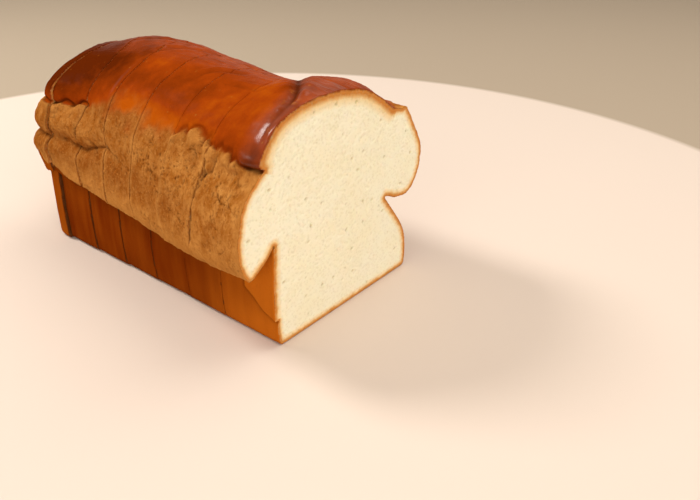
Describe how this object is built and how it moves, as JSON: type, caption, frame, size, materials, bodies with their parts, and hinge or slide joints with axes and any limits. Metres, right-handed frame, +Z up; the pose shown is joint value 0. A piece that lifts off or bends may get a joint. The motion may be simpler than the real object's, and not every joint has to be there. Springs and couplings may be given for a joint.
{
  "type": "brioche loaf",
  "caption": "Pan-baked brioche loaf with a glazed dome and wide side lobes, cut across into slices that still stand together behind an open crumb face.",
  "frame": {"origin": "centre of the bounding box on the plane that the bottom crust rests on", "axes": "+X runs along the loaf from the baked heel to the open cut face, +Y to the side whose crust is torn into a flap, +Z up"},
  "size_m": [0.2018, 0.136, 0.1186],
  "materials": {
    "baked_bread": "egg-glazed golden to mahogany crust with a pale, soft, finely porous crumb on the cut faces"
  },
  "bodies": {
    "root": {"front_slice": "baked_bread", "slice_2": "baked_bread", "slice_3": "baked_bread", "slice_4": "baked_bread", "slice_5": "baked_bread", "slice_6": "baked_bread", "heel_slice": "baked_bread"}
  },
  "joints": []
}
